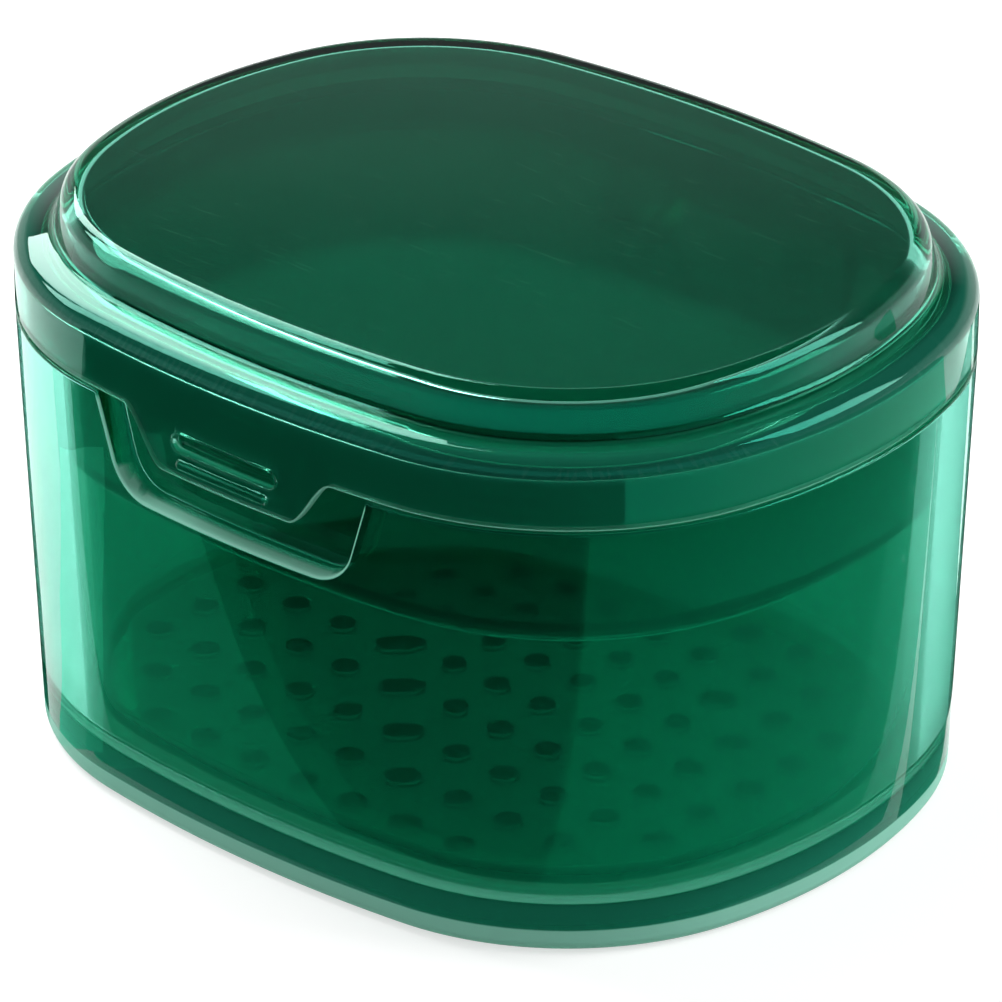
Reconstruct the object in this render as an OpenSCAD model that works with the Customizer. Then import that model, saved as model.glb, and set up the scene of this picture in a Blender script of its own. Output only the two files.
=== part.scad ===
// Denture case: a thick clear cup, a hinged lid with a snap tab, and a lift-out strainer basket.
// The base rests on Z = 0 and is centred on the origin. The latch faces -Y and the hinge +Y.

/* [Outline seen from above] */
// Width of the case at the seam
case_w = 100; // [94:1:110]
// Depth of the case at the seam, front to back
case_d = 81.7; // [78:0.1:88]
// Radius of the corners that join the faces to the ends
corner_r = 32.4; // [30:0.1:34]
// Direction, seen from its centre, in which a face's bow runs into a corner, in degrees
face_turn = 82.25; // [81.5:0.05:83]
// Direction, seen from its centre, in which an end's bow runs into a corner, in degrees
end_turn = 16.65; // [15:0.05:18]

/* [Case body] */
// Height of the body, from the table to the seam
body_h = 48.4; // [44:0.1:64]
// Wall thickness
wall_t = 4.4; // [4.2:0.1:5.2]
// Floor thickness
floor_t = 3.4; // [2.4:0.1:4.4]
// How far the wall leans in from the seam to the table
wall_lean = 1.7; // [0.8:0.1:2.4]
// Outer radius under the base
base_round = 2; // [1:0.1:3]
// Inner radius between the floor and the wall
floor_round = 3; // [1.5:0.1:4]
// Height of the lip that stands up inside the lid
lip_h = 3.6; // [3.2:0.1:4.2]
// Thickness of the lip
lip_t = 2.1; // [2:0.1:2.2]
// Small bevel on moulded edges
edge_bevel = 0.4; // [0.2:0.05:0.5]

/* [Finger notch] */
// Width of the notch at the seam
notch_top_w = 36.8; // [34:0.2:38]
// Width of the notch at its floor, before the corners are rounded
notch_base_w = 30.2; // [28:0.2:32]
// Height of the notch below the seam
notch_h = 10.4; // [9:0.1:13]
// Depth of the notch into the wall
notch_depth = 3.2; // [3:0.1:3.3]
// Corner radius at the floor of the notch
notch_round = 5; // [3:0.1:6]

/* [Lid] */
// Height of the lid above the seam
lid_h = 12.6; // [12:0.1:16]
// Height of the skirt, from the seam to the shoulder
skirt_h = 7.9; // [7.8:0.1:8.6]
// Thickness of the skirt
skirt_t = 1.2; // [1:0.05:1.3]
// Thickness of the crown wall and the roof
lid_t = 2; // [1.6:0.1:2.3]
// Radius where the skirt turns into the shoulder
shoulder_round = 1.9; // [1.2:0.1:2.4]
// Rise of the shoulder towards the crown, in degrees
shoulder_slope = 10; // [4:1:14]
// Inset of the foot of the crown from the outline
crown_in = 4.2; // [4:0.1:5]
// Lean of the crown wall, in degrees
crown_lean = 15; // [8:1:20]
// Radius at the foot of the crown
foot_round = 1; // [0.5:0.1:1.2]
// Radius at the top edge of the crown
crown_round = 1.9; // [1.2:0.1:2.2]

/* [Snap tab] */
// Width of the tab at the seam
tab_top_w = 28.4; // [26:0.2:30]
// Drop of the tab below the seam
tab_drop = 5.4; // [4.8:0.1:6]
// Length of the slot that the catch snaps into
slot_l = 14; // [10:0.5:15]
// Height of the slot
slot_w = 1.9; // [1.4:0.1:2.2]
// Distance from the seam down to the middle of the slot
slot_drop = 1.45; // [1.2:0.05:1.6]
// Length of the thumb rib under the slot
rib_l = 12.6; // [8:0.2:14]
// Height of the thumb rib
rib_w = 1.3; // [0.8:0.1:1.5]
// How far the thumb rib stands out of the tab
rib_out = 0.45; // [0.2:0.05:0.8]

/* [Sealing ring] */
// Thickness of the sealing ring
seal_t = 1.75; // [1.6:0.05:2]
// Width of the sealing ring
seal_w = 2.05; // [1.6:0.05:2.1]
// Thickness of the rib that keeps the ring in the lid
keeper_t = 0.65; // [0.5:0.05:0.7]
// How far that rib reaches below the top of the ring
keeper_h = 1.4; // [0.8:0.1:1.6]

/* [Strainer basket] */
// Wall thickness of the basket
basket_t = 1.6; // [1.2:0.1:1.8]
// Thickness of the perforated floor
basket_floor_t = 1.8; // [1.4:0.1:2.4]
// Height of the collar below the seam
collar_h = 12.9; // [9:0.1:18]
// Step in from the collar to the lower wall
collar_step = 1.4; // [0.8:0.1:1.6]
// Outer radius under the basket
basket_round = 2.5; // [1.8:0.1:3]
// Inner radius between the basket's floor and its wall
basket_floor_round = 1.4; // [1:0.1:2]
// Height of the rim above the seam
rim_h = 5.1; // [3:0.1:5.2]
// Thickness of the flange that hangs on the body
flange_t = 1.5; // [1.2:0.1:2]
// Inset of the rim from the outline
rim_in = 5.8; // [5.8:0.05:6.2]
// Radius of one drain hole
hole_r = 1.35; // [1:0.05:1.8]
// Spacing of the drain holes
hole_pitch = 6.75; // [5.5:0.05:9]
// Margin of bare floor around the holes
hole_margin = 0.3; // [0.3:0.1:3]

/* [Hinge] */
// Distance from the back of the case to the hinge pin
hinge_out = 3.1; // [3.1:0.1:4]
// Distance from the seam down to the hinge pin
hinge_drop = 2; // [1.6:0.1:2.4]
// Outer radius of the hinge knuckles
knuckle_r = 2.7; // [2.2:0.1:2.7]
// Width over the two outer knuckles
hinge_w = 35; // [26:0.5:36]
// Length of the knuckle on the lid
lid_knuckle_l = 15.8; // [10:0.2:16]
// Radius of the hinge pin
pin_r = 1; // [0.8:0.05:1.2]

/* [Clearances] */
// Gap between the lid and the body at the seam
seam_gap = 0.2; // [0.1:0.05:0.3]
// Gap between the lip and the skirt
lip_gap = 0.3; // [0.25:0.05:0.4]
// Gap between the sealing ring and its neighbours
seal_gap = 0.1; // [0.05:0.05:0.2]
// Gap between the catch and the tab
catch_gap = 0.3; // [0.3:0.05:0.6]
// Gap between the basket and the body's wall
basket_gap = 0.4; // [0.3:0.05:0.6]
// Gap between the basket's flange and the body's ledge
seat_gap = 0.15; // [0.1:0.05:0.3]
// Gap under the basket's floor
under_gap = 1.2; // [0.8:0.1:3]
// Gap between neighbouring knuckles
knuckle_gap = 0.3; // [0.2:0.05:0.5]
// Radial clearance of the lid's knuckle on the pin
pin_gap = 0.05; // [0.02:0.01:0.1]
// How far the pin stays below each end of the hinge
pin_sunk = 0.5; // [0.2:0.1:1]

/* [Hidden] */
$fn = 144;
tint = [0.02, 0.45, 0.3, 0.55];
join = 1;         // overlap of two shapes that are fused
sweep_steps = 5;  // straight steps in a small round of a profile
plan_steps = 5;   // straight steps in one arc of a hidden plan edge

half_w = case_w / 2;
half_d = case_d / 2;

// The outline is eight arcs that touch: two faces, two ends and four corners. The radii of the faces
// and ends follow from the size of the case and from the directions in which the arcs meet.
meet = cos(face_turn) * sin(end_turn) - (1 - cos(end_turn)) * (1 - sin(face_turn));
face_to_corner = ((half_w - corner_r) * sin(end_turn) - (1 - cos(end_turn)) * (half_d - corner_r)) / meet;
end_to_corner = (cos(face_turn) * (half_d - corner_r) - (1 - sin(face_turn)) * (half_w - corner_r)) / meet;
face_bow_r = corner_r + face_to_corner;
end_bow_r = corner_r + end_to_corner;
face_c = [0, half_d - face_bow_r];
end_c = [half_w - end_bow_r, 0];
corner_c = end_c + end_to_corner * ray(end_turn);

// Each arc: centre, radius, first and last angle
OUTLINE = [
  [face_c, face_bow_r, face_turn, 180 - face_turn],
  [[-corner_c.x, corner_c.y], corner_r, 180 - face_turn, 180 - end_turn],
  [-end_c, end_bow_r, 180 - end_turn, 180 + end_turn],
  [-corner_c, corner_r, 180 + end_turn, 180 + face_turn],
  [-face_c, face_bow_r, 180 + face_turn, 360 - face_turn],
  [[corner_c.x, -corner_c.y], corner_r, 360 - face_turn, 360 - end_turn],
  [end_c, end_bow_r, -end_turn, end_turn],
  [corner_c, corner_r, end_turn, face_turn]
];

// Profiles are drawn as [inset from the outline, height].
tilt = atan(wall_lean / body_h);
lip_in = skirt_t + lip_gap;
lip_inner = lip_in + lip_t;
lip_top = body_h + lip_h;
body_inner_z = floor_t + floor_round;
body_inner_in = inner_round_in(wall_t, body_inner_z, floor_round);

lid_z = body_h + seam_gap;
lid_top = body_h + lid_h;
shoulder_z = body_h + skirt_h;
seal_z = lip_top + seal_gap;
seal_top = seal_z + seal_t;
keeper_in = skirt_t + 2 * seal_gap + seal_w;
shoulder_start = [shoulder_round, shoulder_z - shoulder_round] + shoulder_round * ray(90 + shoulder_slope);
crown_foot = [crown_in, shoulder_start.y + (crown_in - shoulder_start.x) * tan(shoulder_slope)];
crown_inner_r = max(crown_round - 1, 0.5);

collar_z = body_h - collar_h;
basket_in = wall_t + basket_gap;
lower_in = basket_in + collar_step;
basket_z = floor_t + under_gap;
basket_floor_z = basket_z + basket_floor_t;
basket_inner_z = basket_floor_z + basket_floor_round;
basket_inner_in = inner_round_in(lower_in + basket_t, basket_inner_z, basket_floor_round);
flange_in = lip_inner + basket_gap - seat_gap;
flange_z = body_h + seat_gap;
hole_in = basket_inner_in + hole_r + hole_margin;

hinge_y = half_d + hinge_out;
hinge_z = body_h - hinge_drop;
slot_z = body_h - slot_drop;
tab_z = body_h - tab_drop;
rib_z = tab_z + rib_w + edge_bevel;
catch_in = skirt_t + catch_gap;
gusset_r = 0.95 * knuckle_r;
rim_z = body_h + rim_h;
roof_in = crown_centre(lid_t, lid_top - lid_t - crown_inner_r, crown_inner_r).x;

function ray(angle) = [cos(angle), sin(angle)];
function arc_points(centre, r, from, to, steps = sweep_steps) =
  [for (i = [0 : steps]) centre + r * ray(from + (to - from) * i / steps)];
// Extra inset of the leaning wall at height z
function lean(z) = wall_lean * (1 - z / body_h);
// Inset of the centre of a round of radius r that touches the leaning wall from inside
function inner_round_in(inset, z, r) = inset + lean(z) + r / cos(tilt);
// Inset of the crown wall at height z, for the surface that lies t inside it
function crown_wall_in(t, z) = crown_foot.x + t / cos(crown_lean) + (z - crown_foot.y) * tan(crown_lean);
// Centre of a round of radius r that touches that surface from inside
function crown_centre(t, z, r) = [crown_wall_in(t, z) + r / cos(crown_lean), z];
// True where a point of the plan is inside the outline by at least the given inset
function inside(p, inset) =
  let (q = [abs(p.x), abs(p.y)])
  norm(q - face_c) <= face_bow_r - inset
  && norm(q - end_c) <= end_bow_r - inset
  && (q.x < corner_c.x || q.y < corner_c.y || norm(q - corner_c) <= corner_r - inset);

// Moves in whole units, then thousandths, then the rest, so that no digit is lost on the way.
module place(shift) {
  whole = [for (s = shift) round(s)];
  small = [for (s = shift - whole) round(1000 * s) / 1000];
  translate(whole) translate(small) translate(shift - whole - small) children();
}

// Sweeps a profile along one arc.
module sweep(centre, r, from, to) {
  place(centre)
    rotate_extrude(angle = to - from, start = from)
      place([r, 0])
        mirror([1, 0])
          children();
}

// Sweeps a profile once around the outline.
module around() {
  for (a = OUTLINE)
    sweep(a[0], a[1], a[2], a[3]) children();
}

// Sweeps a profile over a short length in the middle of the front face.
module along_front(length) {
  half_angle = asin(length / 2 / face_bow_r);
  sweep(-face_c, face_bow_r, 270 - half_angle, 270 + half_angle) children();
}

// A plate that fills the middle of a ring, which reaches in to the inset plus join.
module plate(inset, z, t) {
  plate_in = inset + join / 2;
  translate([0, 0, z])
    linear_extrude(t)
      polygon([for (a = OUTLINE) each arc_points(a[0], a[1] - plate_in, a[2], a[3], plan_steps)]);
}

// Stands a front view shape up so that it passes through the front wall.
module through_front() {
  translate([0, 2 * wall_t - half_d, 0])
    rotate([90, 0, 0])
      linear_extrude(3 * wall_t)
        children();
}

// The part of a shape that lies between two insets of the front face.
module front_layer(outer, inner) {
  intersection() {
    children();
    along_front(notch_top_w + 2 * join)
      translate([outer, 0])
        square([inner - outer, lid_top]);
  }
}

// A plate along X drawn as a side view in [Y, Z].
module across(length) {
  translate([-length / 2, 0, 0])
    rotate([90, 0, 90])
      linear_extrude(length)
        children();
}

// ---- case body ----

module body_profile() {
  base_in = inner_round_in(0, base_round, base_round);
  polygon(concat(
    [[body_inner_in + join, 0]],
    arc_points([base_in, base_round], base_round, 270, 180 + tilt),
    [
      [lean(body_h - edge_bevel), body_h - edge_bevel],
      [edge_bevel, body_h],
      [lip_in, body_h],
      [lip_in, lip_top - edge_bevel],
      [lip_in + edge_bevel, lip_top],
      [lip_inner - edge_bevel, lip_top],
      [lip_inner, lip_top - edge_bevel],
      [lip_inner, body_h],
      [wall_t, body_h]
    ],
    arc_points([body_inner_in, body_inner_z], floor_round, 180 + tilt, 270),
    [[body_inner_in + join, floor_t]]
  ));
}

// Half of the notch seen from the front, mirrored into the whole.
module notch_outline() {
  side_angle = atan(2 * notch_h / (notch_top_w - notch_base_w));
  round_x = notch_base_w / 2 - notch_round * tan(side_angle / 2);
  notch_z = body_h - notch_h;
  corner = arc_points([round_x, notch_z + notch_round], notch_round, 270, 270 + side_angle, 8);
  for (side = [0, 1])
    mirror([side, 0])
      polygon(concat(
        [[-join, body_h], [-join, notch_z]],
        corner,
        [[notch_top_w / 2, body_h]]
      ));
}

// Catch block behind the tab, with the nose that the slot snaps over.
module catch_profile() {
  block_in = lip_in + edge_bevel / 2;
  foot_z = body_h - tab_drop + edge_bevel;
  polygon([
    [notch_depth + edge_bevel, foot_z - notch_depth / 2],
    [block_in, foot_z],
    [block_in, slot_z - slot_w / 2],
    [catch_in, slot_z - slot_w / 4],
    [catch_in, slot_z + slot_w / 4],
    [block_in, slot_z + slot_w / 2],
    [block_in, body_h + edge_bevel],
    [notch_depth + edge_bevel, body_h + edge_bevel]
  ]);
}

// Side view of a body knuckle, carried by a gusset that runs down the back wall.
module body_knuckle_outline() {
  root = [half_d - wall_t / 2, hinge_z];
  reach = hinge_out + wall_t / 2;
  translate([hinge_y, hinge_z]) circle(r = knuckle_r);
  polygon([
    root + [0, gusset_r / 2],
    root + [reach, gusset_r / 2],
    root + [reach, 0] + gusset_r * ray(-45),
    root - [0, gusset_r * sqrt(2) + reach]
  ]);
}

// Side view of the lid's knuckle, carried by a gusset that runs up the back of the skirt.
module lid_knuckle_outline() {
  root = [half_d - skirt_t / 2, hinge_z];
  reach = hinge_out + skirt_t / 2;
  skirt_foot = lid_z + edge_bevel - hinge_z;
  translate([hinge_y, hinge_z]) circle(r = knuckle_r);
  polygon([
    root + [0, skirt_foot],
    root + [reach / 2, skirt_foot],
    root + [reach, 0],
    root + [reach, 0] + gusset_r * ray(45),
    root + [0, gusset_r * sqrt(2) + reach]
  ]);
}

module hinge_bore(r) {
  translate([-hinge_w / 2 - join, hinge_y, hinge_z])
    rotate([0, 90, 0])
      cylinder(r = r, h = hinge_w + 2 * join);
}

module case_body() color(tint) {
  knuckle_l = (hinge_w - lid_knuckle_l) / 2 - knuckle_gap;
  difference() {
    union() {
      around() body_profile();
      plate(body_inner_in, 0, floor_t);
      for (side = [-1, 1])
        translate([side * (hinge_w - knuckle_l) / 2, 0, 0])
          across(knuckle_l) body_knuckle_outline();
    }
    front_layer(-join, notch_depth) through_front() notch_outline();
    hinge_bore(pin_r);
  }
  along_front(slot_l + 2 * edge_bevel) catch_profile();
}

// ---- lid ----

module lid_profile() {
  air_angle = 90 + shoulder_slope + crown_lean;
  foot_dir = -ray(shoulder_slope) + ray(90 - crown_lean);
  foot_c = crown_foot + foot_round / sin(air_angle / 2) * foot_dir / norm(foot_dir);
  crown_c = crown_centre(0, lid_top - crown_round, crown_round);
  inner_c = crown_centre(lid_t, lid_top - lid_t - crown_inner_r, crown_inner_r);
  polygon(concat(
    [
      [skirt_t, lid_z],
      [edge_bevel, lid_z],
      [0, lid_z + edge_bevel]
    ],
    arc_points([shoulder_round, shoulder_z - shoulder_round], shoulder_round, 180, 90 + shoulder_slope),
    arc_points(foot_c, foot_round, shoulder_slope - 90, -crown_lean),
    arc_points(crown_c, crown_round, 180 - crown_lean, 90),
    [
      [roof_in + join, lid_top],
      [roof_in + join, lid_top - lid_t]
    ],
    arc_points(inner_c, crown_inner_r, 90, 180 - crown_lean),
    [
      [crown_wall_in(lid_t, seal_top), seal_top],
      [keeper_in + keeper_t, seal_top],
      [keeper_in + keeper_t, seal_top - keeper_h],
      [keeper_in, seal_top - keeper_h],
      [keeper_in, seal_top],
      [skirt_t, seal_top]
    ]
  ));
}

// The tab seen from the front: a straight foot with an S-shaped sweep up to the seam on each side.
module tab_outline() {
  sweep_r = (lid_z - tab_z) / 2;
  foot_x = tab_top_w / 2 - 2 * sweep_r;
  top_z = lid_z + 2 * edge_bevel;
  for (side = [0, 1])
    mirror([side, 0])
      polygon(concat(
        [[-join, top_z], [-join, tab_z]],
        arc_points([foot_x, tab_z + sweep_r], sweep_r, 270, 360),
        arc_points([tab_top_w / 2, tab_z + sweep_r], sweep_r, 180, 90),
        [[tab_top_w / 2, top_z]]
      ));
}

module slot_outline() {
  for (side = [-1, 1])
    translate([side * (slot_l - slot_w) / 2, slot_z]) circle(d = slot_w);
  translate([0, slot_z]) square([slot_l - slot_w, slot_w], center = true);
}

module thumb_rib_profile() {
  polygon([
    [skirt_t / 2, rib_z - rib_w / 2],
    [0, rib_z - rib_w / 2],
    [-rib_out, rib_z - rib_w / 4],
    [-rib_out, rib_z + rib_w / 4],
    [0, rib_z + rib_w / 2],
    [skirt_t / 2, rib_z + rib_w / 2]
  ]);
}

module lid() color(tint) {
  difference() {
    union() {
      around() lid_profile();
      plate(roof_in, lid_top - lid_t, lid_t);
      front_layer(0, skirt_t) through_front() tab_outline();
      along_front(rib_l) thumb_rib_profile();
      across(lid_knuckle_l) lid_knuckle_outline();
    }
    front_layer(-join, skirt_t + join) through_front() slot_outline();
    hinge_bore(pin_r + pin_gap);
  }
}

// ---- sealing ring ----

module sealing_ring() color([0.01, 0.12, 0.08, 0.9]) {
  ring_in = skirt_t + seal_gap;
  around()
    polygon([
      [ring_in + edge_bevel, seal_z],
      [ring_in + seal_w - edge_bevel, seal_z],
      [ring_in + seal_w, seal_z + edge_bevel],
      [ring_in + seal_w, seal_top],
      [ring_in, seal_top],
      [ring_in, seal_z + edge_bevel]
    ]);
}

// ---- strainer basket ----

module basket_profile() {
  base_in = inner_round_in(lower_in, basket_z + basket_round, basket_round);
  polygon(concat(
    [[basket_inner_in + join, basket_z]],
    arc_points([base_in, basket_z + basket_round], basket_round, 270, 180 + tilt),
    [
      [lower_in + lean(collar_z - collar_step), collar_z - collar_step],
      [basket_in + lean(collar_z), collar_z],
      [basket_in, flange_z],
      [flange_in, flange_z],
      [flange_in, flange_z + flange_t - edge_bevel],
      [flange_in + edge_bevel, flange_z + flange_t],
      [rim_in, flange_z + flange_t],
      [rim_in, rim_z - edge_bevel],
      [rim_in + edge_bevel, rim_z],
      [rim_in + basket_t - edge_bevel, rim_z],
      [rim_in + basket_t, rim_z - edge_bevel],
      [rim_in + basket_t, flange_z],
      [basket_in + basket_t + lean(collar_z + basket_t / 2), collar_z + basket_t / 2],
      [lower_in + basket_t + lean(collar_z - collar_step), collar_z - collar_step + basket_t / 2]
    ],
    arc_points([basket_inner_in, basket_inner_z], basket_floor_round, 180 + tilt, 270),
    [[basket_inner_in + join, basket_floor_z]]
  ));
}

module drain_holes() {
  reach = ceil(half_w / hole_pitch);
  for (i = [-reach : reach], j = [-reach : reach])
    if (inside(hole_pitch * [i, j], hole_in))
      translate([hole_pitch * i, hole_pitch * j, basket_z - join])
        cylinder(r = hole_r, h = basket_floor_t + 2 * join);
}

module strainer_basket() color([0.02, 0.35, 0.24, 0.6]) {
  difference() {
    union() {
      around() basket_profile();
      plate(basket_inner_in, basket_z, basket_floor_t);
    }
    drain_holes();
  }
}

// ---- hinge pin ----

module hinge_pin() color("silver") {
  pin_l = hinge_w - 2 * pin_sunk;
  bevel = pin_r / 4;
  translate([-pin_l / 2, hinge_y, hinge_z])
    rotate([0, 90, 0]) {
      cylinder(r1 = pin_r - bevel, r2 = pin_r, h = bevel);
      translate([0, 0, bevel]) cylinder(r = pin_r, h = pin_l - 2 * bevel);
      translate([0, 0, pin_l - bevel]) cylinder(r1 = pin_r, r2 = pin_r - bevel, h = bevel);
    }
}

case_body();
lid();
sealing_ring();
strainer_basket();
hinge_pin();
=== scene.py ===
"""A clear green denture case: its finished plastic shells, the studio around it and the camera."""

import math

import bmesh
import bpy
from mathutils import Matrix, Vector


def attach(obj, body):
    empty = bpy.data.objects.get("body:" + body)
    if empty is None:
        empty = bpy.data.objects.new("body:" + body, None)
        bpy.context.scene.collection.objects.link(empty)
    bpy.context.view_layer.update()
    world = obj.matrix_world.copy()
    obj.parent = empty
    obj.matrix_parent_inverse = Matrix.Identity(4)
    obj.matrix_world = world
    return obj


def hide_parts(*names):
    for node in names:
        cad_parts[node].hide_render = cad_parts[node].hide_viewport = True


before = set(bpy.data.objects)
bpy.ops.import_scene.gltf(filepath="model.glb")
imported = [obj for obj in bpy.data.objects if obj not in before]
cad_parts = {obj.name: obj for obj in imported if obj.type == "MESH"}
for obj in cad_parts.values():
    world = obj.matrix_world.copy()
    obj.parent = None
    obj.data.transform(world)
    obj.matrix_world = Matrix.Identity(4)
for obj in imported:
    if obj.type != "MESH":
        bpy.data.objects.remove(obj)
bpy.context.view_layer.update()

# ---- sizes, in millimetres ----

MM = 0.001

CASE_W = 100.0
CASE_D = 81.7
CORNER_R = 32.4
FACE_TURN = math.radians(82.25)
END_TURN = math.radians(16.65)

BODY_H = 48.4
WALL_T = 4.4
FLOOR_T = 3.4
WALL_LEAN = 1.7
BASE_ROUND = 1.4
FLOOR_ROUND = 3.0
LIP_H = 3.6
LIP_T = 2.1

NOTCH_TOP_W = 36.8
NOTCH_BASE_W = 30.2
NOTCH_H = 10.4
NOTCH_DEPTH = 3.2
NOTCH_ROUND = 5.0

LID_H = 12.6
SKIRT_H = 7.9
SKIRT_T = 1.2
LID_T = 2.0
SHOULDER_ROUND = 1.9
SHOULDER_SLOPE = math.radians(10)
CROWN_IN = 4.2
CROWN_LEAN = math.radians(15)
FOOT_ROUND = 1.0
CROWN_ROUND = 1.9

TAB_TOP_W = 28.4
TAB_DROP = 5.4
SLOT_L = 14.0
SLOT_W = 1.9
SLOT_DROP = 1.45
RIB_L = 12.6
RIB_W = 1.3
RIB_OUT = 0.45

SEAL_T = 1.75
SEAL_W = 2.05
KEEPER_T = 0.65
KEEPER_H = 1.4

BASKET_T = 1.6
BASKET_FLOOR_T = 1.8
COLLAR_H = 12.9
COLLAR_STEP = 1.4
BASKET_ROUND = 2.5
BASKET_FLOOR_ROUND = 1.4
RIM_H = 5.1
FLANGE_T = 1.5
RIM_IN = 5.8
HOLE_R = 1.35
HOLE_PITCH = 6.75
HOLE_MARGIN = 0.3

HINGE_OUT = 3.1
HINGE_DROP = 2.0
KNUCKLE_R = 2.7
HINGE_W = 35.0
LID_KNUCKLE_L = 15.8
PIN_R = 1.0
KNUCKLE_FOOT = 1.4  # flat foot of the gusset under the lid's knuckle

SEAM_GAP = 0.2
LIP_GAP = 0.3
SEAL_GAP = 0.1
CATCH_GAP = 0.3
BASKET_GAP = 0.4
SEAT_GAP = 0.15
UNDER_GAP = 1.2
KNUCKLE_GAP = 0.3
PIN_GAP = 0.05
PIN_FIT = 0.01
PIN_SUNK = 0.5

FOOT_BAND = 2.6    # height of the matte band around the foot, which is pale mint as a painted highlight
FOOT_FADE = 5.0    # above it the wall is a little matte up to here
UNDER_RIM = 9.0    # width of the matte rim of the underside
TAB_BLEND_Z = 50.8  # the skirt is drawn down into the tab below this height
EDGE = 0.35        # radius of a moulded edge
SMALL_EDGE = 0.18  # radius of a fine inner edge

UNDER_IN = 14.0    # a swept underside ends this far in, and one flat face fills the rest
FLOOR_IN = 18.0    # the same on a floor
ROOF_IN = 20.0     # the same on top of the lid
CEILING_IN = 24.0  # the same under the lid's roof

STEP = 0.8         # longest step along the outline
FRONT_STEP = 0.45  # the same on the lid's front, where the tab is shaped
RISE_STEP = 0.8    # longest step up the lid
ARC_STEP = math.radians(9)
SHARP_FROM = math.radians(32)
WELD = 0.0005      # points that are closer than this become one
OVERCUT = 1.0      # how far a cutter reaches past what it cuts

HALF_W = CASE_W / 2
HALF_D = CASE_D / 2
LIP_IN = SKIRT_T + LIP_GAP
LIP_INNER = LIP_IN + LIP_T
LIP_TOP = BODY_H + LIP_H
LID_Z = BODY_H + SEAM_GAP
LID_TOP = BODY_H + LID_H
SEAL_Z = LIP_TOP + SEAL_GAP
SEAL_TOP = SEAL_Z + SEAL_T
KEEPER_IN = SKIRT_T + 2 * SEAL_GAP + SEAL_W
HINGE_Y = HALF_D + HINGE_OUT
HINGE_Z = BODY_H - HINGE_DROP
GUSSET = 0.95 * KNUCKLE_R
SLOT_Z = BODY_H - SLOT_DROP
NOTCH_LOW = BODY_H - NOTCH_H
TAB_Z = BODY_H - TAB_DROP
BASKET_IN = WALL_T + BASKET_GAP
BASKET_Z = FLOOR_T + UNDER_GAP


# ---- the outline seen from above: eight arcs that touch ----

def ray(angle):
    return Vector((math.cos(angle), math.sin(angle)))


def outline_arcs():
    """Centre, radius, first and last angle of each arc."""
    cos_f, sin_f = math.cos(FACE_TURN), math.sin(FACE_TURN)
    cos_e, sin_e = math.cos(END_TURN), math.sin(END_TURN)
    across, along = HALF_W - CORNER_R, HALF_D - CORNER_R
    meet = cos_f * sin_e - (1 - cos_e) * (1 - sin_f)
    face_to_corner = (across * sin_e - (1 - cos_e) * along) / meet
    end_to_corner = (cos_f * along - (1 - sin_f) * across) / meet
    face_r = CORNER_R + face_to_corner
    end_r = CORNER_R + end_to_corner
    face = Vector((0, HALF_D - face_r))
    end = Vector((HALF_W - end_r, 0))
    corner = end + end_to_corner * ray(END_TURN)
    pi = math.pi
    return [
        (face, face_r, FACE_TURN, pi - FACE_TURN),
        (Vector((-corner.x, corner.y)), CORNER_R, pi - FACE_TURN, pi - END_TURN),
        (-end, end_r, pi - END_TURN, pi + END_TURN),
        (-corner, CORNER_R, pi + END_TURN, pi + FACE_TURN),
        (-face, face_r, pi + FACE_TURN, 2 * pi - FACE_TURN),
        (Vector((corner.x, -corner.y)), CORNER_R, 2 * pi - FACE_TURN, 2 * pi - END_TURN),
        (end, end_r, -END_TURN, END_TURN),
        (corner, CORNER_R, END_TURN, FACE_TURN),
    ]


ARCS = outline_arcs()
FRONT_ARC = 4
FACE_C, FACE_R = ARCS[0][0], ARCS[0][1]
END_C, END_R = ARCS[6][0], ARCS[6][1]
CORNER_C = ARCS[7][0]


def inside(x, y, inset):
    """True where a point of the plan is inside the outline by at least the inset."""
    q = Vector((abs(x), abs(y)))
    return (
        (q - FACE_C).length <= FACE_R - inset
        and (q - END_C).length <= END_R - inset
        and (q.x < CORNER_C.x or q.y < CORNER_C.y or (q - CORNER_C).length <= CORNER_R - inset)
    )


def front_y(x, inset):
    """The y of the front face at x, moved in by the inset."""
    return -(FACE_C.y + math.sqrt((FACE_R - inset) ** 2 - x * x))


def lean(z):
    return WALL_LEAN * (1 - z / BODY_H)


# ---- mesh building ----

def rounded(corners, longest=None):
    """A polyline through corners (inset, z, radius); a corner with a radius becomes an arc.

    Where a longest rise is given, upright stretches are divided into steps of at most that height.
    """
    points = []
    last = len(corners) - 1
    for i, (inset, z, r) in enumerate(corners):
        p = Vector((inset, z))
        if r == 0:
            points.append(p)
            continue
        before = (Vector(corners[i - 1][:2]) - p).normalized()
        after = (Vector(corners[i + 1 if i < last else 0][:2]) - p).normalized()
        half = before.angle(after) / 2
        centre = p + (before + after).normalized() * (r / math.sin(half))
        start = p + before * (r / math.tan(half)) - centre
        end = p + after * (r / math.tan(half)) - centre
        steps = max(3, math.ceil((math.pi - 2 * half) / ARC_STEP))
        for k in range(steps + 1):
            points.append(centre + start.lerp(end, k / steps).normalized() * r)
    if longest is None:
        return points
    fine = [points[0]]
    for p in points[1:]:
        gap = p - fine[-1]
        parts = max(1, math.ceil(abs(gap.y) / longest))
        first = fine[-1].copy()
        fine.extend(first + gap * (k / parts) for k in range(1, parts + 1))
    return fine


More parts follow.
